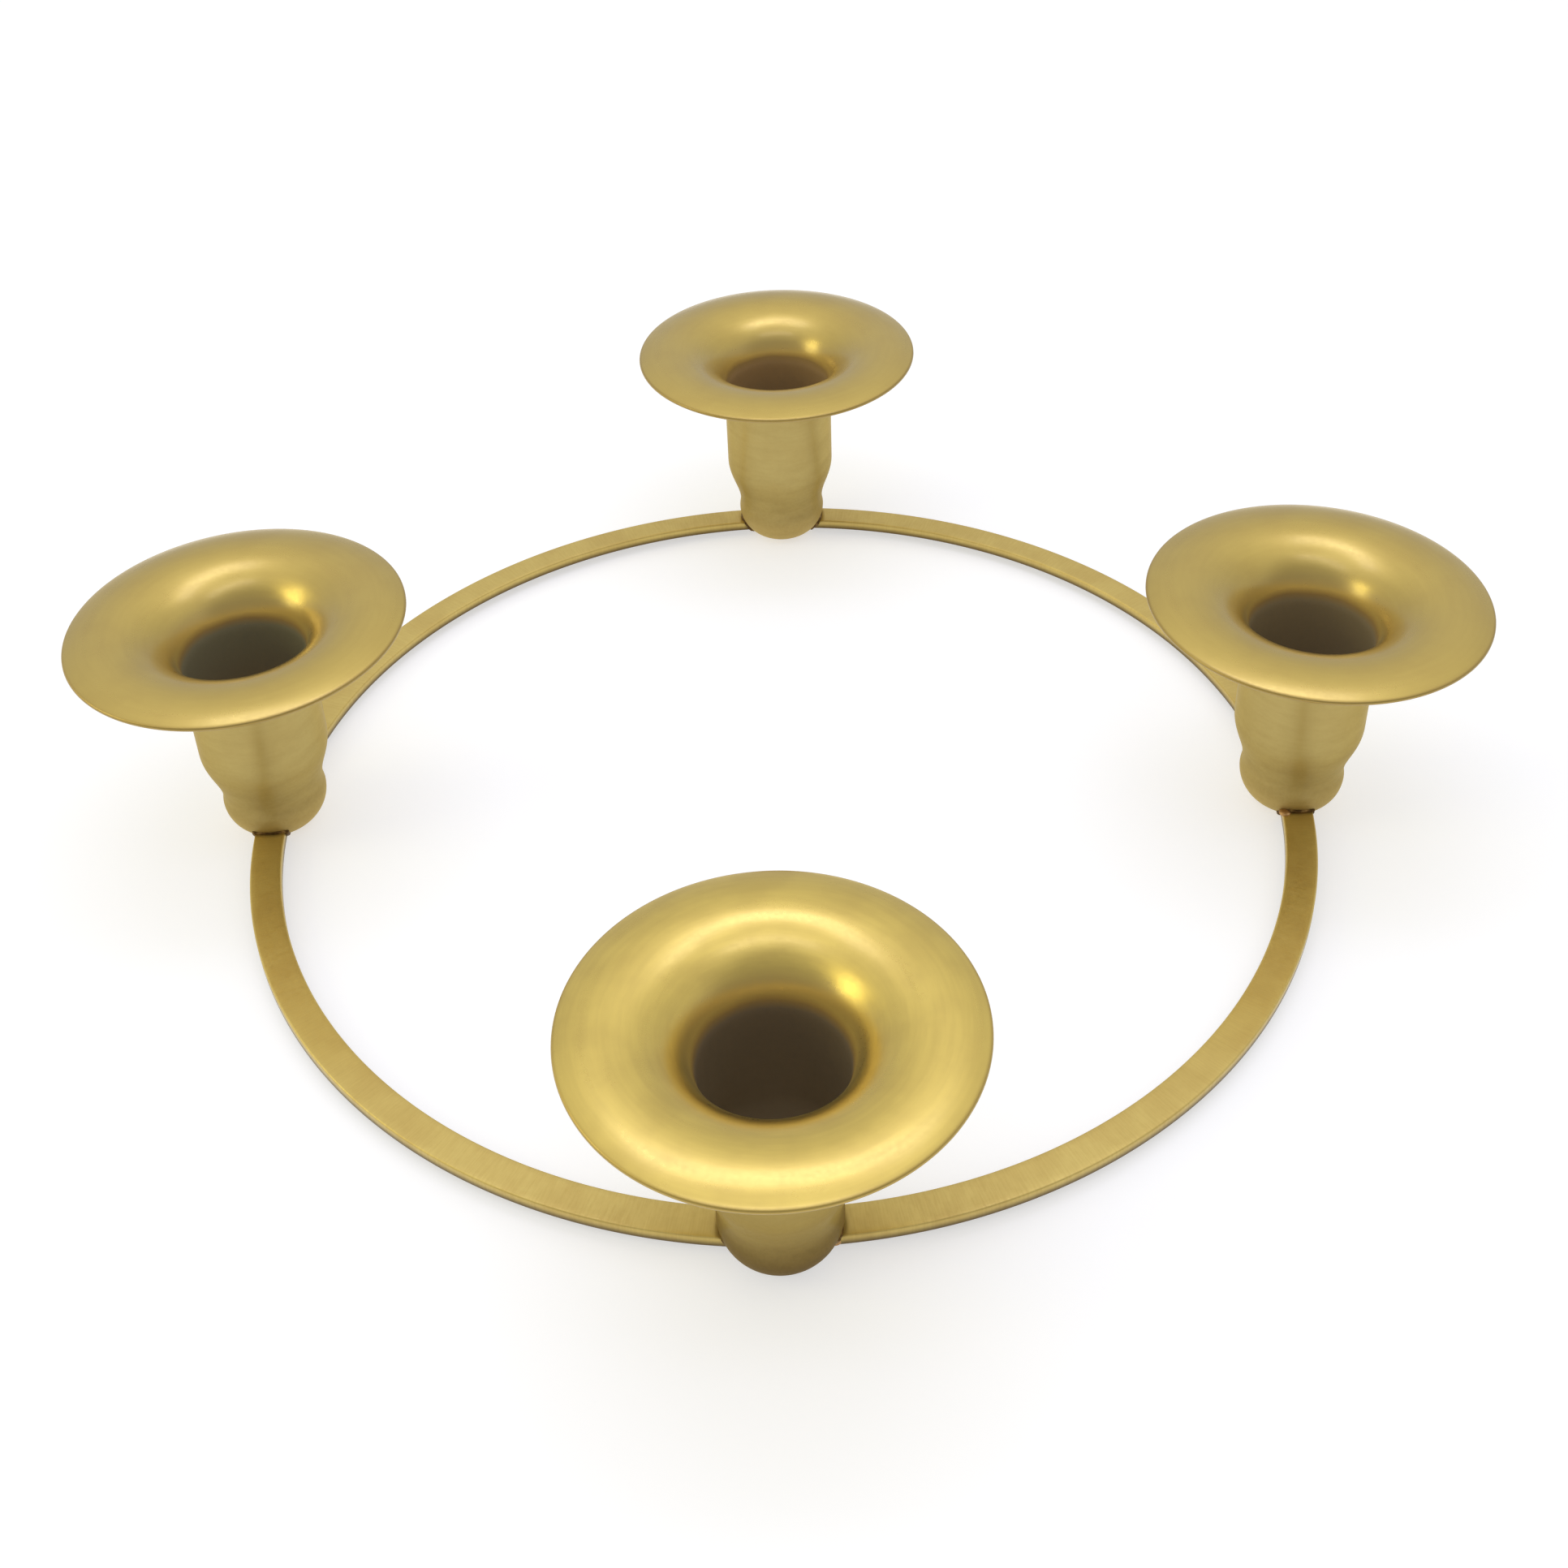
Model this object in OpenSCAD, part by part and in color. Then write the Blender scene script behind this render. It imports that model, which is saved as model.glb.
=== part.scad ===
// Advent candle holder: a ring of flat brass bar joining four spun candle cups.
// The holder stands on the cups' feet at z = 0, with its centre on the Z axis.
// Lengths are millimetres and angles are degrees.

/* [Candle socket] */
// Radius of the straight bore, a slip fit for a 22 mm candle
bore_r = 11.2; // [10.8:0.1:12]
// Thickness of the spun sheet
wall = 0.9; // [0.6:0.1:1.2]
// Height above the table at which the bore ends and the cup narrows
shoulder_h = 20.3; // [17:0.1:26]

/* [Flared flange] */
// Height of the flange's crest above the table
crest_h = 49.4; // [44:0.2:60]
// Radius of the flange's crest
crest_r = 23.9; // [20:0.1:27]
// Radius of the flange's rim
rim_r = 31; // [29:0.2:36]
// How far the rim droops below the crest
rim_drop = 1.4; // [0.6:0.1:2.5]
// Depth from the crest to the top of the straight bore
flare_depth = 11.5; // [8:0.5:15]

/* [Waist and foot] */
// Radius of the waist under the socket
waist_r = 9.6; // [8.8:0.1:9.8]
// Height of the waist above the table
waist_h = 9.4; // [8.6:0.1:12]
// Largest radius of the rounded foot
knob_r = 9.85; // [9.65:0.05:11]
// Height of the rounded foot's largest radius
knob_h = 7.2; // [6:0.1:8.4]
// Radius of the flat that the foot rests on
rest_r = 2.8; // [2:0.1:5]

/* [Ring] */
// Radius of the circle through the middle of the bar and the cups' axes
ring_r = 99.2; // [85:0.2:130]
// Width of the flat bar, measured across the ring
bar_w = 5.8; // [4:0.1:8]
// Thickness of the flat bar
bar_t = 2.2; // [1.5:0.1:3]
// Radius that takes the sharpness off the bar's four edges
bar_edge = 0.35; // [0.1:0.05:0.8]
// Height of the bar's underside above the table
bar_h = 1.75; // [1.2:0.05:3]

/* [Braze] */
// How far the braze stands out from the bar and from the cup
braze = 0.7; // [0.4:0.1:1]

/* [Hidden] */

// Angle between neighbouring cups, which is also the sweep of each bar
quarter = 360 / 4;
// Directions of the cups seen from above, counter-clockwise from +X
front = -90;
right = front + quarter;
rear = right + quarter;
left = rear + quarter;

tube_r = bore_r + wall;
bore_top_h = crest_h - flare_depth;
flare_w = crest_r - bore_r;
// The drooping rim is an arc that leaves the crest level and ends at the rim
rim_w = rim_r - crest_r;
droop_r = (rim_w * rim_w + rim_drop * rim_drop) / (2 * rim_drop);
droop_mid_r = droop_r - wall / 2;
droop_angle = asin((rim_w - wall / 2) / droop_mid_r);

brass = [0.80, 0.66, 0.36];
braze_brass = [0.50, 0.38, 0.20];
$fn = 96;

// Points along part of an ellipse about centre c, from one angle to another
function curve(c, a, b, from, to, steps) = [
    for (i = [0:steps])
        let (t = from + (to - from) * i / steps)
        [c[0] + a * cos(t), c[1] + b * sin(t)]
];

// Points along a soft S between two radii, upright at both its ends
function soft_step(start, end, steps) = [
    for (i = [0:steps])
        let (t = i / steps, share = (1 - cos(180 * t)) / 2)
        [start[0] + (end[0] - start[0]) * share, start[1] + (end[1] - start[1]) * t]
];

// The cup's skin from its flat rest up to the top of the socket, moved out by grow
function lower_line(grow) = concat(
    curve([rest_r, knob_h], knob_r - rest_r + grow, knob_h + grow, -90, 0, 9),
    soft_step([knob_r + grow, knob_h], [waist_r + grow, waist_h], 5),
    soft_step([waist_r + grow, waist_h], [tube_r + grow, shoulder_h], 10),
    [[tube_r + grow, bore_top_h]]
);

// The flare from the top of the bore over the crest, moved down by depth
function flare_line(depth) = concat(
    curve([crest_r, bore_top_h], flare_w - depth, flare_depth - depth, 180, 90, 14),
    curve([crest_r, crest_h - droop_r], droop_r - depth, droop_r - depth, 90, 90 - droop_angle, 5)
);

// The rounded edge of the rim, from the underside to the top
function rim_line() = curve(
    [crest_r + droop_mid_r * sin(droop_angle), crest_h - droop_r + droop_mid_r * cos(droop_angle)],
    wall / 2, wall / 2, -90 - droop_angle, 90 - droop_angle, 6
);

function reversed(line) = [for (i = [len(line) - 1:-1:0]) line[i]];

// Half section of one cup, a skin of even thickness from the foot to the rim
function cup_section() = concat(
    [[0, 0]],
    lower_line(0),
    flare_line(wall),
    rim_line(),
    reversed(flare_line(0)),
    reversed(lower_line(-wall)),
    [[0, wall]]
);

module at_cup(angle) rotate(angle) translate([ring_r, 0, 0]) children();

// One spun cup, with its flange, socket, waist and foot
module cup(angle) color(brass) at_cup(angle) rotate_extrude() polygon(cup_section());

// The lower part of a cup without its hollow, as wide as the skin and grow more
module cup_space(angle, grow) at_cup(angle) rotate_extrude()
    polygon(concat([[0, -grow]], lower_line(grow), [[0, bore_top_h]]));

// Section of the bar, with its edges eased
function bar_section() = let (
    out_r = ring_r + bar_w / 2 - bar_edge, in_r = ring_r - bar_w / 2 + bar_edge,
    top = bar_h + bar_t - bar_edge, low = bar_h + bar_edge
) concat(
    curve([out_r, top], bar_edge, bar_edge, 0, 90, 3),
    curve([in_r, top], bar_edge, bar_edge, 90, 180, 3),
    curve([in_r, low], bar_edge, bar_edge, 180, 270, 3),
    curve([out_r, low], bar_edge, bar_edge, 270, 360, 3)
);

// A quarter turn round the ring's axis that starts at an angle
module quarter_turn(angle) rotate(angle) rotate_extrude(angle = quarter) children();

// One bar between two cups, its ends coped to the rounded feet
module bar(angle) color(brass) difference() {
    quarter_turn(angle) polygon(bar_section());
    cup_space(angle, 0);
    cup_space(angle + quarter, 0);
}

// Square-edged section of the bar, thicker all round by grow
module bar_space(grow) translate([ring_r - bar_w / 2 - grow, bar_h - grow])
    square([bar_w + 2 * grow, bar_t + 2 * grow]);

// The two collars of braze at one cup, round the ends of the bars that meet it
module braze_pair(angle) color(braze_brass) difference() {
    intersection() {
        quarter_turn(angle - quarter / 2) bar_space(braze);
        cup_space(angle, braze);
    }
    quarter_turn(angle - quarter / 2) bar_space(0);
    cup_space(angle, 0);
}

cup(front);  // cup_front
cup(right);  // cup_right
cup(rear);  // cup_rear
cup(left);  // cup_left
bar(front);  // bar_front_right
bar(right);  // bar_rear_right
bar(rear);  // bar_rear_left
bar(left);  // bar_front_left
braze_pair(front);  // braze_front
braze_pair(right);  // braze_right
braze_pair(rear);  // braze_rear
braze_pair(left);  // braze_left
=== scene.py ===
# Looks of the advent candle holder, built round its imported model.
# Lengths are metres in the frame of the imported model: +Z up, the table at z = 0.

import math

import bpy
from mathutils import Matrix, Vector


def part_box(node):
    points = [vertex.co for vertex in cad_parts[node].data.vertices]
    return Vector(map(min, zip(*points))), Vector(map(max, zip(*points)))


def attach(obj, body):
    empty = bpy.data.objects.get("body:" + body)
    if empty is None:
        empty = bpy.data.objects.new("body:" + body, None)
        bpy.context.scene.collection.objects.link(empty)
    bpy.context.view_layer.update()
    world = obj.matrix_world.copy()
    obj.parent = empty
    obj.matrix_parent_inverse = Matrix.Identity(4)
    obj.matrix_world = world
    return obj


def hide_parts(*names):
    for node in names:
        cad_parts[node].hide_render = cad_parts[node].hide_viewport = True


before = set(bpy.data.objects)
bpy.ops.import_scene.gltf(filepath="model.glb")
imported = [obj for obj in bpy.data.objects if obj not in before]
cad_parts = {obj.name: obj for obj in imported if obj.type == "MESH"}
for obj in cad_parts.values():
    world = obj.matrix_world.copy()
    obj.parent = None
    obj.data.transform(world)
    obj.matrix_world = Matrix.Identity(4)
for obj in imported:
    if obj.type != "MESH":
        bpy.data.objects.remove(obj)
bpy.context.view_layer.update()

MM = 0.001
QUARTER = math.radians(90)

BODY = "root"
SIDES = ("front", "right", "rear", "left")
BARS = ("front_right", "rear_right", "rear_left", "front_left")
FRONT = -QUARTER

# Sizes as in the part's source
BORE_R = 11.2 * MM
WALL = 0.9 * MM
SHOULDER_H = 20.3 * MM
CREST_R = 23.9 * MM
RIM_DROP = 1.4 * MM
FLARE_DEPTH = 11.5 * MM
WAIST_R = 9.6 * MM
WAIST_H = 9.4 * MM
KNOB_R = 9.85 * MM
KNOB_H = 7.2 * MM
REST_R = 2.8 * MM
BAR_W = 5.8 * MM
BAR_EDGE = 0.35 * MM

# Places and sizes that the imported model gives
cup_low, cup_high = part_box("cup_right")
RIM_R = (cup_high.x - cup_low.x) / 2
CREST_H = cup_high.z
RING_R = (cup_high.x + cup_low.x) / 2
bar_low, bar_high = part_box("bar_front_right")
BAR_H = bar_low.z
BAR_TOP = bar_high.z

# What follows from them; the drooping rim is an arc that leaves the crest level
TUBE_R = BORE_R + WALL
BORE_TOP_H = CREST_H - FLARE_DEPTH
RIM_W = RIM_R - CREST_R
DROOP_R = (RIM_W ** 2 + RIM_DROP ** 2) / (2 * RIM_DROP)
DROOP_MID_R = DROOP_R - WALL / 2
DROOP_ANGLE = math.degrees(math.asin((RIM_W - WALL / 2) / DROOP_MID_R))

# Number of steps along the parts of a cup's outline, from the foot to the rim, and round it
KNOB_STEPS = 22
WAIST_STEPS = 8
SHOULDER_STEPS = 24
BORE_STEPS = 14
FLARE_STEPS = 40
DROOP_STEPS = 14
RIM_STEPS = 10
TURN_STEPS = 192

# Number of steps along a bar, round each of its eased edges and across each of its flats
BAR_STEPS = 96
EDGE_STEPS = 5
FLAT_STEPS = 6


# Colours

def rgb(red, green, blue):
    """A colour written as the eye sees it, from 0 to 255, as the shader wants it."""
    def linear(value):
        value /= 255
        return value / 12.92 if value <= 0.04045 else ((value + 0.055) / 1.055) ** 2.4
    return (linear(red), linear(green), linear(blue), 1.0)


def of_side(tints, side):
    """The tint of a side that has its own, and of the others otherwise."""
    return tints.get(side, tints["others"])


WHITE = (1.0, 1.0, 1.0, 1.0)

# A cup's outside, its foot and its face, as painted light and shade on one brass: the front one is
# painted brighter above and browner below, and each foot tint is a painted reflection of the floor
# at the foot, shaded at the front cup and lighter at the others
BODY_TINTS_AND_SHADE = {"front": rgb(172, 151, 90), "others": rgb(186, 166, 103)}
FOOT_REFLECTION_TINTS = {"front": rgb(116, 92, 51), "others": rgb(204, 182, 118)}
FACE_TINTS_AND_LIGHT = {"front": rgb(222, 195, 100), "others": rgb(200, 174, 90)}
BODY_DULL = rgb(168, 144, 81)
FACE_DULL = rgb(184, 156, 80)
# Painted light: the underside of a flare, lighter than the outside so that the bars reflect it
# brighter
UNDERSIDE_LIGHT = rgb(216, 190, 106)
# Painted shade on the rounded rim, in place of its bright reflection
RIM_SHADE_BROWN = rgb(140, 112, 58)

# The deep part of each socket, its floor, and the tints from there up into the flare. The socket's
# dull brown is partly painted shade, and differs per cup as painted light and shade; the floor is
# painted lighter as painted light; the stops, lighter and darker, are painted light and shade where
# the flare turns down into the socket
SOCKET_TINTS_AND_SHADE = {
    "front": rgb(140, 124, 98),
    "right": rgb(160, 144, 110),
    "rear": rgb(182, 152, 104),
    "left": rgb(146, 140, 112),
}
SOCKET_FLOOR_LIGHT = rgb(170, 152, 117)
FLARE_STOPS_LIGHT_AND_SHADE = (
    (0.28, rgb(166, 136, 79)),
    (0.4, rgb(188, 156, 82)),
    (0.55, rgb(204, 174, 91)),
    (1.0, rgb(190, 164, 90)),
)

# Tints of the spun metal where it is seen at a low angle
BODY_SHEEN = rgb(236, 222, 178)
FACE_SHEEN = WHITE

BAR_TINT = rgb(214, 190, 110)
BAR_DULL = rgb(192, 162, 87)
# Painted shade at the bars' lower edges
BAR_LOW_SHADE = rgb(112, 92, 48)

# Braze from its hollows to its crowns, in the beads and in the drops
BRAZE_STOPS = (0.0, 0.55, 1.0)
BEAD_TINTS = (rgb(72, 52, 28), rgb(108, 82, 45), rgb(152, 120, 70))
DROP_TINTS = (rgb(176, 136, 86), rgb(206, 166, 114), rgb(228, 192, 140))


# Nodes

# Sockets of a Mix node that mixes colours
MIX_SHARE, MIX_FIRST, MIX_SECOND, MIX_RESULT = 0, 6, 7, 2


def node(tree, kind, inputs=None, **settings):
    """A new node. An input is a value, or a socket that is linked to it."""
    made = tree.nodes.new(kind)
    for name, value in settings.items():
        setattr(made, name, value)
    for name, value in (inputs or {}).items():
        if isinstance(value, bpy.types.NodeSocket):
            tree.links.new(value, made.inputs[name])
        else:
            made.inputs[name].default_value = value
    return made


def math_node(tree, operation, *values):
    return node(tree, "ShaderNodeMath", dict(enumerate(values)), operation=operation).outputs[0]


def map_range(tree, value, source, target=(0.0, 1.0), smooth=True):
    """The value carried from the source range to the target range, and held at its ends."""
    inputs = {
        "Value": value,
        "From Min": source[0],
        "From Max": source[1],
        "To Min": target[0],
        "To Max": target[1],
    }
    kind = "SMOOTHSTEP" if smooth else "LINEAR"
    return node(tree, "ShaderNodeMapRange", inputs, interpolation_type=kind).outputs[0]


def mix_colour(tree, share, first, second):
    inputs = {MIX_SHARE: share, MIX_FIRST: first, MIX_SECOND: second}
    return node(tree, "ShaderNodeMix", inputs, data_type="RGBA").outputs[MIX_RESULT]


def colour_ramp(tree, value, stops):
    made = node(tree, "ShaderNodeValToRGB", {"Fac": value})
    elements = made.color_ramp.elements
    while len(elements) < len(stops):
        elements.new(0.5)
    for element, (place, colour) in zip(elements, stops):
        element.position = place
        element.color = colour
    return made.outputs["Color"]


def new_material(name):
    material = bpy.data.materials.new(name)
    material.use_nodes = True
    tree = material.node_tree
    return material, tree, tree.nodes["Principled BSDF"]


# Materials

# The part of its range that a noise's values fill, and the part of that which shows as blotches
NOISE_RANGE = (0.3, 0.7)
BLOTCH_RANGE = (0.35, 0.7)

# Scales of the noises, as waves in a metre
CUP_BLOTCHES = 120.0
CUP_GRAIN = 1600.0
BAR_BLOTCHES = 150.0
BAR_SPECKLE = 1400.0
BRAZE_LUMPS = 900.0

# Detail of the noises: of most, of the finest ones and of the braze
DETAIL = 3.0
FINE_DETAIL = 2.0
LUMP_DETAIL = 4.0

# Turning marks on a cup: their pitch, and how often they change in a turn
FINE_PITCH, FINE_RUNS = 0.9 * MM, 2.5
BROAD_PITCH, BROAD_RUNS = 2.4 * MM, 1.2

# Grain across a bar: the length of its marks, and their pitch along the bar
GRAIN_LENGTH = 4.0 * MM
GRAIN_PITCH = 0.3 * MM

# Heights on a cup's outside: over the first it is painted lighter under the flare, for a brighter
# reflection in the bars, over the second the painted reflection of the floor at the foot goes, and
# over the third its dullness goes
UNDERSIDE_HEIGHTS = (38 * MM, 46 * MM)
FOOT_HEIGHTS = (2 * MM, 14 * MM)
DULL_HEIGHTS = (3 * MM, 28 * MM)

# Heights over which a bar's painted shade at its lower edge fades out upwards
BAR_LOW_HEIGHTS = (BAR_H + 0.3 * MM, BAR_H + 1.7 * MM)

# Heights inside a cup: over the first the socket's brown, partly painted shade, gives way to the
# flare, down the second it is painted lighter towards its floor, over the third the metal gets
# bright, and over the fourth the face takes over
FLARE_HEIGHTS = (CREST_H - 10.2 * MM, CREST_H - 5.5 * MM)
FLOOR_HEIGHTS = (CREST_H - 11 * MM, CREST_H - 30 * MM)
METAL_HEIGHTS = (CREST_H - 9.5 * MM, CREST_H - 2.0 * MM)
FACE_HEIGHTS = (CREST_H - 6.5 * MM, CREST_H - 4.0 * MM)
# How far the blotches move those heights up and down
UNEVEN = 0.15 * MM

# Distances from a cup's axis over which its rim gets a painted brown shade, and how strong that
# painted shade gets
RIM_BAND = (RIM_R - 0.6 * MM, RIM_R - 0.1 * MM)
RIM_SHARE = 0.45

# How much of the dull tint shows in the blotches, and along the marks
CUP_DULLING = (0.28, 0.18)
BAR_DULLING = (0.35, 0.16)

# Roughness along the marks, and what the grain adds to it
CUP_ROUGHNESS, CUP_GRAIN_ROUGHNESS = (0.26, 0.34), 0.05
BAR_ROUGHNESS, BAR_GRAIN_ROUGHNESS = (0.42, 0.50), 0.06
BRAZE_ROUGHNESS = (0.60, 0.42)

# Roughness added to a cup's outside from its foot up, to its inside from the socket up, and at
# its rim
FOOT_ROUGHNESS = (0.44, 0.08)
SOCKET_ROUGHNESS = (0.3, 0.0)
RIM_ROUGHNESS = 0.18
# Shares of the way from the socket to the flare over which the socket's roughness goes
SOCKET_END = (0.1, 0.7)

# How metallic the socket and the bars are, where 1 is bare metal
SOCKET_METALLIC = 0.3
BAR_METALLIC = 0.88

# How much the turning marks draw out what a cup reflects
ANISOTROPY = 0.25

# Lacquer: how much of it each kind of surface has, and what it is like
BODY_COAT = 0.15
FACE_COAT = 0.6
BAR_COAT = 0.3
BRAZE_COAT = 0.0
COAT_ROUGHNESS = 0.2
COAT_IOR = 1.5

# Bumps: how far they stand out, and how strongly they show
CUP_MARK_BUMP = (0.03 * MM, 0.15)
CUP_GRAIN_BUMP = (0.02 * MM, 0.04)
BAR_GRAIN_BUMP = (0.03 * MM, 0.25)
BAR_SPECKLE_BUMP = (0.02 * MM, 0.25)
BRAZE_BUMP = (0.1 * MM, 0.5)

# Keeps the directions sound on the axis itself
LEAST_DISTANCE = 0.01 * MM


def around_axis(tree):
    """The place, its distance from the object's own axis, the cosine and the sine of its
    direction, and its height."""
    place = node(tree, "ShaderNodeTexCoord").outputs["Object"]
    x, y, z = node(tree, "ShaderNodeSeparateXYZ", {0: place}).outputs
    flat = node(tree, "ShaderNodeCombineXYZ", {"X": x, "Y": y}).outputs[0]
    distance = node(tree, "ShaderNodeVectorMath", {0: flat}, operation="LENGTH").outputs["Value"]
    distance = math_node(tree, "MAXIMUM", distance, LEAST_DISTANCE)
    cosine = math_node(tree, "DIVIDE", x, distance)
    sine = math_node(tree, "DIVIDE", y, distance)
    return place, distance, cosine, sine, z


def noise(tree, vector, scale, detail=DETAIL):
    """A noise that changes with all three of the vector's values."""
    inputs = {"Vector": vector, "Scale": scale, "Detail": detail}
    return node(tree, "ShaderNodeTexNoise", inputs).outputs["Fac"]


def drawn_out(tree, across, cosine, sine, pitch, runs):
    """A noise's vector that changes with a pitch across, and so many times in a turn."""
    return node(tree, "ShaderNodeCombineXYZ", {
        "X": math_node(tree, "MULTIPLY", across, 1 / pitch),
        "Y": math_node(tree, "MULTIPLY", cosine, runs),
        "Z": math_node(tree, "MULTIPLY", sine, runs),
    }).outputs[0]


def streaks(tree, across, height, cosine, sine, pitch, runs):
    """Noise drawn out round the axis, with a pitch across the streaks and up them."""
    inputs = {
        "Vector": drawn_out(tree, across, cosine, sine, pitch, runs),
        "W": math_node(tree, "MULTIPLY", height, 1 / pitch),
        "Scale": 1.0,
        "Detail": DETAIL,
    }
    return node(tree, "ShaderNodeTexNoise", inputs, noise_dimensions="4D").outputs["Fac"]


def worn(tree, colour, dull, blotches, marks, shares):
    """The colour dulled in the blotches and along the marks, each by up to its share."""
    in_blotches = map_range(tree, blotches, BLOTCH_RANGE, (0.0, shares[0]))
    tint = mix_colour(tree, in_blotches, colour, dull)
    in_marks = map_range(tree, marks, NOISE_RANGE, (0.0, shares[1]))
    return mix_colour(tree, in_marks, tint, dull)


def satin(tree, marks, grain, roughness, more):
    """A roughness that follows the marks, to which the grain adds up to more."""
    along_marks = map_range(tree, marks, NOISE_RANGE, roughness)
    in_grain = map_range(tree, grain, NOISE_RANGE, (0.0, more))
    return math_node(tree, "ADD", along_marks, in_grain)


def finish_metal(tree, shader, colour, roughness, bumps, coat):
    """Links what varies over the surface, and sets the rest on the shader itself. Each bump is
    a height, how far it stands out and how strongly it shows."""
    tree.links.new(colour, shader.inputs["Base Color"])
    tree.links.new(roughness, shader.inputs["Roughness"])
    shader.inputs["Metallic"].default_value = 1.0
    shader.inputs["Coat Weight"].default_value = coat
    shader.inputs["Coat Roughness"].default_value = COAT_ROUGHNESS
    shader.inputs["Coat IOR"].default_value = COAT_IOR
    normal = None
    for height, distance, strength in bumps:
        inputs = {"Height": height, "Distance": distance, "Strength": strength}
        if normal is not None:
            inputs["Normal"] = normal
        normal = node(tree, "ShaderNodeBump", inputs).outputs[0]
    tree.links.new(normal, shader.inputs["Normal"])


def spun_brass(name, colour, dull, sheen, coat, shade):
    """Brass turned on a lathe. shade gives its tint and the roughness that is added."""
    material, tree, shader = new_material(name)
    place, distance, cosine, sine, height = around_axis(tree)
    fine = streaks(tree, distance, height, cosine, sine, FINE_PITCH, FINE_RUNS)
    broad = streaks(tree, distance, height, cosine, sine, BROAD_PITCH, BROAD_RUNS)
    blotches = noise(tree, place, CUP_BLOTCHES)
    grain = noise(tree, place, CUP_GRAIN, FINE_DETAIL)
    tint = worn(tree, colour, dull, blotches, fine, CUP_DULLING)
    tint, more = shade(tree, shader, distance, height, blotches, tint)
    roughness = satin(tree, broad, grain, CUP_ROUGHNESS, CUP_GRAIN_ROUGHNESS)
    roughness = math_node(tree, "ADD", roughness, more)
    bumps = ((broad, *CUP_MARK_BUMP), (grain, *CUP_GRAIN_BUMP))
    finish_metal(tree, shader, tint, roughness, bumps, coat)
    shader.inputs["Anisotropic"].default_value = ANISOTROPY
    shader.inputs["Specular Tint"].default_value = sheen
    tangent = node(tree, "ShaderNodeTangent", direction_type="RADIAL", axis="Z").outputs[0]
    tree.links.new(tangent, shader.inputs["Tangent"])
    return material


def body_shade(foot_reflection):
    """The outside of a cup, painted lighter under the flare for a brighter reflection in the bars,
    tinted towards its foot by a painted reflection of the floor, browner at the front cup, and
    duller towards its foot.
    """
    def shade(tree, shader, distance, height, blotches, tint):
        # painted light: lighter under the flare, for a brighter reflection in the bars
        tint = mix_colour(tree, map_range(tree, height, UNDERSIDE_HEIGHTS), tint, UNDERSIDE_LIGHT)
        # painted reflection of the floor at the foot: shaded at the front cup, lighter at the
        # others
        foot = map_range(tree, height, FOOT_HEIGHTS, (1.0, 0.0))
        tint = mix_colour(tree, foot, tint, foot_reflection)
        return tint, map_range(tree, height, DULL_HEIGHTS, FOOT_ROUGHNESS)
    return shade


def face_shade(deep_colour):
    """The inside of a cup, dull and dark down in the socket, partly as painted shade, painted
    lighter towards the socket's floor, and with a painted brown shade at the very rim.
    """
    def shade(tree, shader, distance, height, blotches, tint):
        uneven = map_range(tree, blotches, NOISE_RANGE, (-UNEVEN, UNEVEN))
        edge = math_node(tree, "ADD", height, uneven)
        share = map_range(tree, edge, FLARE_HEIGHTS, smooth=False)
        # painted light and shade: the socket's tint for each cup, and the stops up into the flare
        inside = colour_ramp(tree, share, ((0.0, deep_colour), *FLARE_STOPS_LIGHT_AND_SHADE))
        # painted light: lighter down towards the socket's floor
        inside = mix_colour(tree, map_range(tree, height, FLOOR_HEIGHTS), inside, SOCKET_FLOOR_LIGHT)
        metal = map_range(tree, edge, METAL_HEIGHTS, (SOCKET_METALLIC, 1.0))
        tree.links.new(metal, shader.inputs["Metallic"])
        # painted shade: brown along the rim's edge
        rim = map_range(tree, distance, RIM_BAND)
        tint = mix_colour(tree, math_node(tree, "MULTIPLY", rim, RIM_SHARE), tint, RIM_SHADE_BROWN)
        tint = mix_colour(tree, map_range(tree, edge, FACE_HEIGHTS), inside, tint)
        dull = map_range(tree, share, SOCKET_END, SOCKET_ROUGHNESS)
        return tint, math_node(tree, "MULTIPLY_ADD", rim, RIM_ROUGHNESS, dull)
    return shade


def bar_brass(name, colour, dull, lower_edge_shade):
    """Flat stock with a short grain across it, a little blotched, and with painted shade darkening
    its lower edges.
    """
    material, tree, shader = new_material(name)
    place, distance, cosine, sine, height = around_axis(tree)
    marks = drawn_out(tree, distance, cosine, sine, GRAIN_LENGTH, RING_R / GRAIN_PITCH)
    grain = noise(tree, marks, 1.0)
    blotches = noise(tree, place, BAR_BLOTCHES)
    speckle = noise(tree, place, BAR_SPECKLE, FINE_DETAIL)
    tint = worn(tree, colour, dull, blotches, grain, BAR_DULLING)
    # painted shade: darker towards the bar's lower edge
    tint = mix_colour(tree, map_range(tree, height, BAR_LOW_HEIGHTS), lower_edge_shade, tint)
    roughness = satin(tree, grain, speckle, BAR_ROUGHNESS, BAR_GRAIN_ROUGHNESS)
    bumps = ((grain, *BAR_GRAIN_BUMP), (speckle, *BAR_SPECKLE_BUMP))
    finish_metal(tree, shader, tint, roughness, bumps, BAR_COAT)
    shader.inputs["Metallic"].default_value = BAR_METALLIC
    return material


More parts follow.
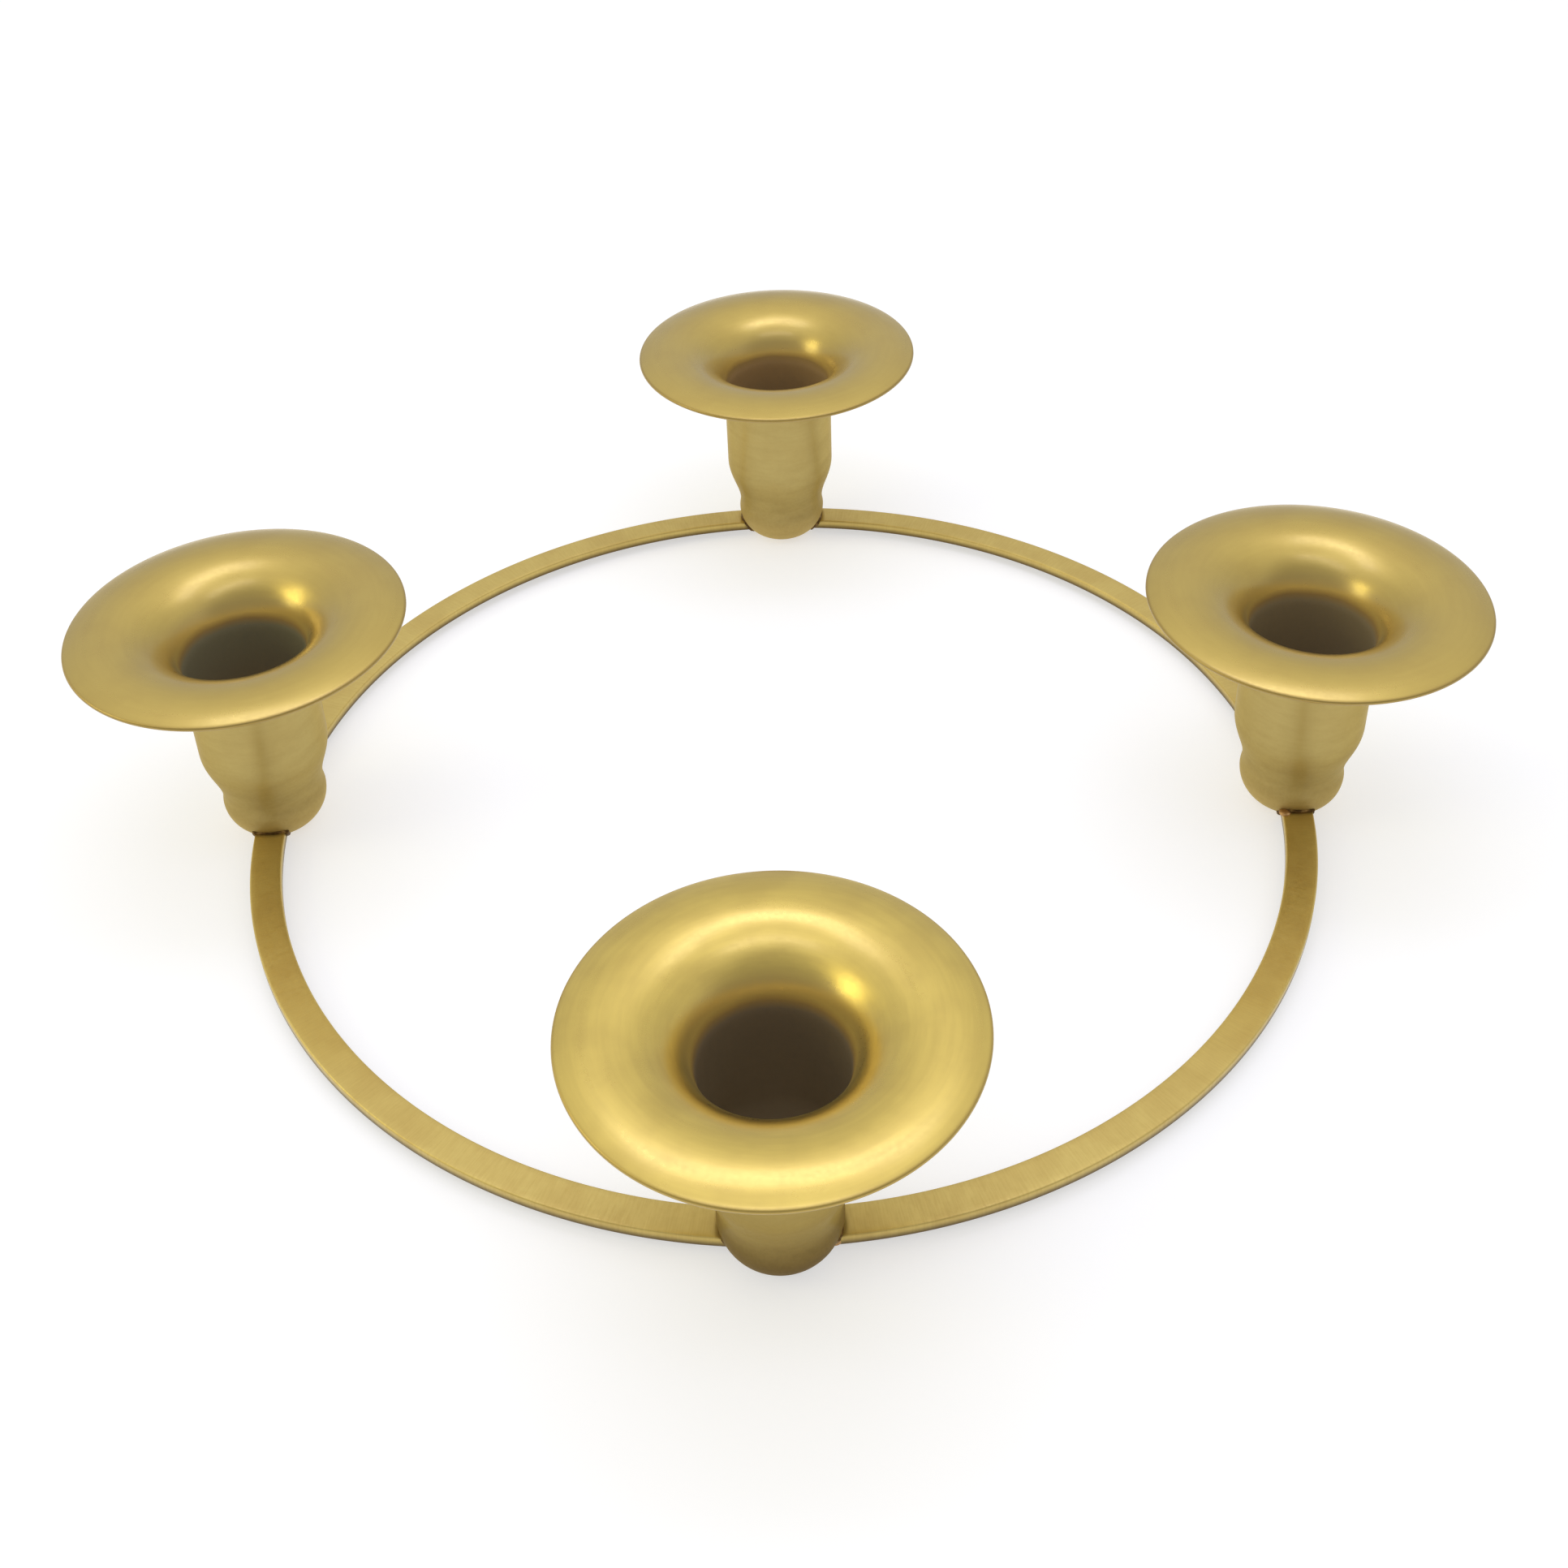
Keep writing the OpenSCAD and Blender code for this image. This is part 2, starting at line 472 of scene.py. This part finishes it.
def braze_metal(name, tints):
    """Filler metal that flowed and darkened, with lighter crowns."""
    material, tree, shader = new_material(name)
    place = node(tree, "ShaderNodeTexCoord").outputs["Object"]
    lumps = noise(tree, place, BRAZE_LUMPS, LUMP_DETAIL)
    rise = map_range(tree, lumps, NOISE_RANGE, smooth=False)
    tint = colour_ramp(tree, rise, tuple(zip(BRAZE_STOPS, tints)))
    roughness = map_range(tree, lumps, NOISE_RANGE, BRAZE_ROUGHNESS)
    finish_metal(tree, shader, tint, roughness, ((lumps, *BRAZE_BUMP),), BRAZE_COAT)
    return material


# Meshes

# Points nearer to each other than this are one point
SAME_POINT = 0.001 * MM


def arc(centre, a, b, start, end, steps):
    """Points along part of an ellipse, its angles in degrees."""
    angles = [math.radians(start + (end - start) * i / steps) for i in range(steps + 1)]
    return [(centre[0] + a * math.cos(t), centre[1] + b * math.sin(t)) for t in angles]


def soft_step(start, end, steps):
    """Points along a soft S between two radii, upright at both its ends."""
    points = []
    for i in range(steps + 1):
        share = (1 - math.cos(math.pi * i / steps)) / 2
        radius = start[0] + (end[0] - start[0]) * share
        points.append((radius, start[1] + (end[1] - start[1]) * i / steps))
    return points


def straight(start, end, steps):
    return [tuple(a + (b - a) * i / steps for a, b in zip(start, end)) for i in range(steps + 1)]


def joined(*lines):
    """The lines one after another, with each shared end once."""
    points = []
    for line in lines:
        for point in line:
            if not points or math.dist(point, points[-1]) > SAME_POINT:
                points.append(point)
    return points


def lower_line(grow):
    """The cup's skin from its flat rest up to the top of the socket, moved out by grow."""
    knob = (KNOB_R + grow, KNOB_H)
    waist = (WAIST_R + grow, WAIST_H)
    shoulder = (TUBE_R + grow, SHOULDER_H)
    bore_top = (TUBE_R + grow, BORE_TOP_H)
    return joined(
        arc((REST_R, KNOB_H), KNOB_R - REST_R + grow, KNOB_H + grow, -90, 0, KNOB_STEPS),
        soft_step(knob, waist, WAIST_STEPS),
        soft_step(waist, shoulder, SHOULDER_STEPS),
        straight(shoulder, bore_top, BORE_STEPS))


def flare_line(depth):
    """The flare from the top of the bore over the crest to the rim, moved down by depth."""
    droop_r = DROOP_R - depth
    flare_w, flare_h = CREST_R - BORE_R - depth, FLARE_DEPTH - depth
    return joined(
        arc((CREST_R, BORE_TOP_H), flare_w, flare_h, 180, 90, FLARE_STEPS),
        arc((CREST_R, CREST_H - DROOP_R), droop_r, droop_r, 90, 90 - DROOP_ANGLE, DROOP_STEPS))


def rim_line():
    """The rounded edge of the rim, from the underside to the top."""
    tilt = math.radians(DROOP_ANGLE)
    radius = CREST_R + DROOP_MID_R * math.sin(tilt)
    height = CREST_H - DROOP_R + DROOP_MID_R * math.cos(tilt)
    start, end = -90 - DROOP_ANGLE, 90 - DROOP_ANGLE
    return arc((radius, height), WALL / 2, WALL / 2, start, end, RIM_STEPS)


def add_object(name, vertices, faces, materials, face_materials=None):
    mesh = bpy.data.meshes.new(name)
    mesh.from_pydata(vertices, [], faces)
    for material in materials:
        mesh.materials.append(material)
    for i, polygon in enumerate(mesh.polygons):
        polygon.use_smooth = True
        if face_materials:
            polygon.material_index = face_materials[i]
    mesh.update()
    made = bpy.data.objects.new(name, mesh)
    bpy.context.scene.collection.objects.link(made)
    return made


def lathe(name, outside, inside, materials):
    """A closed skin turned round Z. outside runs from the axis at the bottom out to the rim,
    and inside runs back to the axis. Each has its own material."""
    line = outside + inside
    vertices = [(0.0, 0.0, line[0][1])]
    rings = line[1:-1]
    for radius, height in rings:
        for i in range(TURN_STEPS):
            angle = 2 * math.pi * i / TURN_STEPS
            vertices.append((radius * math.cos(angle), radius * math.sin(angle), height))
    vertices.append((0.0, 0.0, line[-1][1]))
    last = len(vertices) - 1
    faces, face_materials = [], []
    for i in range(TURN_STEPS):
        faces.append((0, 1 + (i + 1) % TURN_STEPS, 1 + i))
        face_materials.append(0)
    for row in range(len(rings) - 1):
        low, high = 1 + row * TURN_STEPS, 1 + (row + 1) * TURN_STEPS
        for i in range(TURN_STEPS):
            j = (i + 1) % TURN_STEPS
            faces.append((low + i, low + j, high + j, high + i))
            face_materials.append(0 if row < len(outside) - 1 else 1)
    top = 1 + (len(rings) - 1) * TURN_STEPS
    for i in range(TURN_STEPS):
        faces.append((top + i, top + (i + 1) % TURN_STEPS, last))
        face_materials.append(1)
    return add_object(name, vertices, faces, materials, face_materials)


def make_cup(side, angle, materials):
    outside = joined([(0.0, 0.0)], lower_line(0.0), flare_line(WALL))
    inside = joined(
        rim_line()[1:], reversed(flare_line(0.0)), reversed(lower_line(-WALL)), [(0.0, WALL)])
    cup = lathe("spun_cup_" + side, outside, inside, materials)
    cup.location = (RING_R * math.cos(angle), RING_R * math.sin(angle), 0.0)
    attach(cup, BODY)
    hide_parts("cup_" + side)


def foot_radius(height):
    """The foot's outer radius at a height below its widest."""
    share = 1 - ((KNOB_H - height) / KNOB_H) ** 2
    return REST_R + (KNOB_R - REST_R) * math.sqrt(max(share, 0.0))


def end_angle(radius, height):
    """How far round the ring from a cup's axis a line of the bar meets the foot."""
    foot = foot_radius(height)
    return math.acos((radius ** 2 + RING_R ** 2 - foot ** 2) / (2 * radius * RING_R))


def bar_outline(grow=0.0):
    """The bar's section as distances from the ring's axis and heights, with its edges eased."""
    outer, inner = RING_R + BAR_W / 2 + grow, RING_R - BAR_W / 2 - grow
    top, low = BAR_TOP + grow, BAR_H - grow
    edge = BAR_EDGE + grow
    corners = (
        (outer - edge, top - edge, 0),
        (inner + edge, top - edge, 90),
        (inner + edge, low + edge, 180),
        (outer - edge, low + edge, 270),
    )
    points = []
    for x, z, start in corners:
        points += arc((x, z), edge, edge, start, start + 90, EDGE_STEPS)
    outline = []
    for here, after in zip(points, points[1:] + points[:1]):
        steps = FLAT_STEPS if math.dist(here, after) > 2 * edge else 1
        outline += straight(here, after, steps)[:-1]
    return outline


def make_bar(name, angle, material):
    """One bar between the cup at an angle and the next, its ends shaped to their round feet."""
    outline = bar_outline()
    count = len(outline)
    vertices, faces = [], []
    for step in range(BAR_STEPS + 1):
        share = step / BAR_STEPS
        for radius, height in outline:
            start = end_angle(radius, height)
            turn = angle + start + (QUARTER - 2 * start) * share
            vertices.append((radius * math.cos(turn), radius * math.sin(turn), height))
    for step in range(BAR_STEPS):
        for i in range(count):
            j = (i + 1) % count
            a, b = step * count, (step + 1) * count
            faces.append((a + i, b + i, b + j, a + j))
    faces.append(tuple(range(count)))
    faces.append(tuple(BAR_STEPS * count + i for i in reversed(range(count))))
    bar = add_object("flat_" + name, vertices, faces, [material])
    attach(bar, BODY)
    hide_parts(name)


# Braze

# Beads round the bars' ends: their thickness, how far off the bar they run, and their steps
BEAD_R = 0.5 * MM
BEAD_OFF = 0.05 * MM
BEAD_STEPS = 120
BEAD_SIDES = 10
# Waves round a bead: how many in a turn, and how much each swells it
BEAD_WAVES = ((3, 0.20), (7, 0.12), (17, 0.06))
# What sets the waves of one cup's beads, and of its second bead, apart from the others
FIRST_PHASE = 1.0
CUP_PHASE = 2.1
SECOND_PHASE = 1.7

# Drops of filler that ran onto a bar: way round the ring, distance from the ring's axis, height,
# how far past the joint, and half sizes along, across and up
DROPS = {
    "right": (
        -1, RING_R - 2.5 * MM, BAR_TOP + 0.05 * MM, 0.8 * MM, (0.95 * MM, 1.1 * MM, 0.5 * MM)),
    "front": (
        1, RING_R + 2.8 * MM, BAR_H + 0.7 * MM, 0.5 * MM, (1.0 * MM, 0.4 * MM, 0.7 * MM)),
}
DROP_ROWS = 8
DROP_SIDES = 16


def bead_line(angle, way):
    """Points round the bar's end, where it meets the foot of the cup at an angle."""
    outline = bar_outline(BEAD_OFF)
    line = []
    for i in range(BEAD_STEPS):
        place = i * len(outline) / BEAD_STEPS
        low = int(place)
        (r0, z0), (r1, z1) = outline[low], outline[(low + 1) % len(outline)]
        radius, height = r0 + (r1 - r0) * (place - low), z0 + (z1 - z0) * (place - low)
        turn = angle + way * end_angle(radius, height)
        line.append(Vector((radius * math.cos(turn), radius * math.sin(turn), height)))
    return line


def bead(angle, way, phase, vertices, faces):
    """A bead of filler round the bar's end, on the side of the cup that way says."""
    line = bead_line(angle, way)
    first = len(vertices)
    axis = Vector((RING_R * math.cos(angle), RING_R * math.sin(angle), 0.0))
    for i, point in enumerate(line):
        along = (line[(i + 1) % BEAD_STEPS] - line[i - 1]).normalized()
        out = point - axis
        out.z = 0.0
        side = along.cross(out).normalized()
        out = side.cross(along).normalized()
        turn = 2 * math.pi * i / BEAD_STEPS
        swell = 1 + sum(
            share * math.sin(count * turn + count * phase / 3) for count, share in BEAD_WAVES)
        for k in range(BEAD_SIDES):
            round_angle = 2 * math.pi * k / BEAD_SIDES
            offset = out * math.cos(round_angle) + side * math.sin(round_angle)
            vertices.append(tuple(point + offset * BEAD_R * swell))
    for i in range(BEAD_STEPS):
        a, b = first + i * BEAD_SIDES, first + ((i + 1) % BEAD_STEPS) * BEAD_SIDES
        for k in range(BEAD_SIDES):
            m = (k + 1) % BEAD_SIDES
            faces.append((a + k, b + k, b + m, a + m))


def drop(centre, size, turn, vertices, faces):
    """A flattened drop of filler, with half sizes along, across and up, turned by an angle."""
    first = len(vertices)
    for row in range(1, DROP_ROWS):
        tilt = math.pi * row / DROP_ROWS
        for k in range(DROP_SIDES):
            round_angle = 2 * math.pi * k / DROP_SIDES
            x = size[0] * math.sin(tilt) * math.cos(round_angle)
            y = size[1] * math.sin(tilt) * math.sin(round_angle)
            vertices.append((
                centre[0] + x * math.cos(turn) - y * math.sin(turn),
                centre[1] + x * math.sin(turn) + y * math.cos(turn),
                centre[2] - size[2] * math.cos(tilt)))
    vertices.append((centre[0], centre[1], centre[2] - size[2]))
    vertices.append((centre[0], centre[1], centre[2] + size[2]))
    low_end, high_end = len(vertices) - 2, len(vertices) - 1
    last = first + (DROP_ROWS - 2) * DROP_SIDES
    for k in range(DROP_SIDES):
        m = (k + 1) % DROP_SIDES
        faces.append((low_end, first + m, first + k))
        faces.append((last + k, last + m, high_end))
        for row in range(DROP_ROWS - 2):
            a, b = first + row * DROP_SIDES, first + (row + 1) * DROP_SIDES
            faces.append((a + k, a + m, b + m, b + k))


def make_braze(side, angle, phase, materials):
    """The two beads at a cup, and the drop beside one of them where there is one."""
    vertices, faces = [], []
    bead(angle, 1, phase, vertices, faces)
    bead(angle, -1, phase + SECOND_PHASE, vertices, faces)
    beads = len(faces)
    if side in DROPS:
        way, radius, height, past, size = DROPS[side]
        turn = angle + way * (end_angle(radius, height) + past / radius)
        centre = (radius * math.cos(turn), radius * math.sin(turn), height)
        drop(centre, size, turn + QUARTER, vertices, faces)
    face_materials = [0] * beads + [1] * (len(faces) - beads)
    lumps = add_object("braze_beads_" + side, vertices, faces, materials, face_materials)
    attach(lumps, BODY)
    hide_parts("braze_" + side)


# Surroundings

FLOOR_HALF = 3.0
FLOOR_GREY = 0.55

# The world's brightness: at the horizon, what it gains overhead, and the most that it gets
HORIZON = 0.62
OVERHEAD = 0.47
SKY_MOST = 1.0
# How far forward a direction points where the world starts to get dimmer and where it is dimmest
FORWARD = (0.2, 0.68)
DIMMEST = 0.58

COOL = (0.96, 0.99, 1.5)
WARM = (1.0, 0.94, 0.44)
# Lamps: place, aim, width, depth, brightness and colour
LAMPS = {
    "lamp_above": ((0.0, 0.08, 0.59), (0.0, 0.08, 0.0), 0.50, 0.145, 1.55, COOL),
    "lamp_front": ((0.0, -0.24, 0.59), (0.0, -0.24, 0.0), 0.50, 0.085, 1.3, COOL),
    "lamp_left": ((-0.95, -0.15, 0.48), (0.0, 0.0, 0.03), 0.42, 0.42, 2.9, WARM),
}

# Camera, fitted to the rims and the ring in the photograph
IMAGE_SIDE = 1932
FOCAL_PIXELS = 2364.1
SENSOR = 36.0
CAMERA_PLACE = Vector((2.2, -284.9, 254.7)) * MM
CAMERA_TURN = math.radians(1.087)
CAMERA_PITCH = math.radians(33.706)
CAMERA_ROLL = math.radians(-1.970)
CAMERA_SHIFT = -0.16
CAMERA_NEAR = 10 * MM


def make_camera():
    data = bpy.data.cameras.new("camera")
    data.sensor_width = SENSOR
    data.lens = FOCAL_PIXELS / IMAGE_SIDE * SENSOR
    data.shift_y = CAMERA_SHIFT
    data.clip_start = CAMERA_NEAR
    camera = bpy.data.objects.new("camera", data)
    turn = Matrix.Rotation(CAMERA_TURN, 4, "Z")
    tilt = Matrix.Rotation(QUARTER - CAMERA_PITCH, 4, "X")
    roll = Matrix.Rotation(CAMERA_ROLL, 4, "Z")
    camera.matrix_world = turn @ Matrix.Translation(CAMERA_PLACE) @ tilt @ roll
    bpy.context.scene.collection.objects.link(camera)
    bpy.context.scene.camera = camera


def make_floor():
    """A pale floor that looks white wherever the holder doesn't shade it."""
    half = FLOOR_HALF
    corners = [(-half, -half, 0.0), (half, -half, 0.0), (half, half, 0.0), (-half, half, 0.0)]
    material, tree, shader = new_material("floor_white")
    shader.inputs["Base Color"].default_value = (FLOOR_GREY, FLOOR_GREY, FLOOR_GREY, 1.0)
    shader.inputs["Roughness"].default_value = 1.0
    shader.inputs["Specular IOR Level"].default_value = 0.0
    rays = node(tree, "ShaderNodeLightPath").outputs
    seen = math_node(tree, "MAXIMUM", rays["Is Camera Ray"], rays["Is Glossy Ray"])
    seen = math_node(tree, "MAXIMUM", seen, rays["Is Transmission Ray"])
    strength = math_node(tree, "MULTIPLY", seen, FLOOR_GREY)
    tree.links.new(strength, shader.inputs["Emission Strength"])
    shader.inputs["Emission Color"].default_value = WHITE
    floor = add_object("floor", corners, [(0, 1, 2, 3)], [material])


def make_world():
    """Soft light that is brightest overhead and dimmer in front, and looks white to the camera."""
    world = bpy.data.worlds.new("soft_room")
    bpy.context.scene.world = world
    world.use_nodes = True
    tree = world.node_tree
    towards = node(tree, "ShaderNodeTexCoord").outputs["Generated"]
    _, y, z = node(tree, "ShaderNodeSeparateXYZ", {0: towards}).outputs
    steep = math_node(tree, "POWER", math_node(tree, "MAXIMUM", z, 0.0), 2.0)
    climb = math_node(tree, "MULTIPLY_ADD", steep, OVERHEAD, HORIZON)
    climb = math_node(tree, "MINIMUM", climb, SKY_MOST)
    forward = math_node(tree, "MULTIPLY", y, -1.0)
    dim = map_range(tree, forward, FORWARD, (1.0, DIMMEST))
    rays = node(tree, "ShaderNodeLightPath").outputs
    light = math_node(tree, "MULTIPLY", climb, dim)
    strength = math_node(tree, "MAXIMUM", light, rays["Is Camera Ray"])
    background = tree.nodes["Background"]
    background.inputs["Color"].default_value = WHITE
    tree.links.new(strength, background.inputs["Strength"])


def make_lamp(name, place, aim, width, depth, brightness, colour):
    """A lamp whose face has that brightness, where 1 is white."""
    data = bpy.data.lights.new(name, "AREA")
    data.shape = "RECTANGLE"
    data.size = width
    data.size_y = depth
    data.energy = brightness * math.pi * width * depth
    data.color = colour
    lamp = bpy.data.objects.new(name, data)
    lamp.location = place
    lamp.rotation_euler = (Vector(aim) - Vector(place)).to_track_quat("-Z", "Y").to_euler()
    lamp.visible_camera = False
    bpy.context.scene.collection.objects.link(lamp)


# The scene: surroundings, materials and pieces

make_camera()
make_floor()
make_world()
for name, settings in LAMPS.items():
    make_lamp(name, *settings)

bar_metal = bar_brass("bar_brass", BAR_TINT, BAR_DULL, BAR_LOW_SHADE)
braze_metals = [
    braze_metal("braze_metal", BEAD_TINTS),
    braze_metal("braze_tab_metal", DROP_TINTS),
]

for i, side in enumerate(SIDES):
    angle = FRONT + i * QUARTER
    outside = spun_brass(
        "cup_body_brass_" + side, of_side(BODY_TINTS_AND_SHADE, side), BODY_DULL, BODY_SHEEN,
        BODY_COAT, body_shade(of_side(FOOT_REFLECTION_TINTS, side)))
    inside = spun_brass(
        "cup_face_brass_" + side, of_side(FACE_TINTS_AND_LIGHT, side), FACE_DULL, FACE_SHEEN,
        FACE_COAT, face_shade(SOCKET_TINTS_AND_SHADE[side]))
    make_cup(side, angle, [outside, inside])
    make_braze(side, angle, FIRST_PHASE + CUP_PHASE * i, braze_metals)

for i, name in enumerate(BARS):
    make_bar("bar_" + name, FRONT + i * QUARTER, bar_metal)

bpy.context.scene.view_settings.view_transform = "Standard"
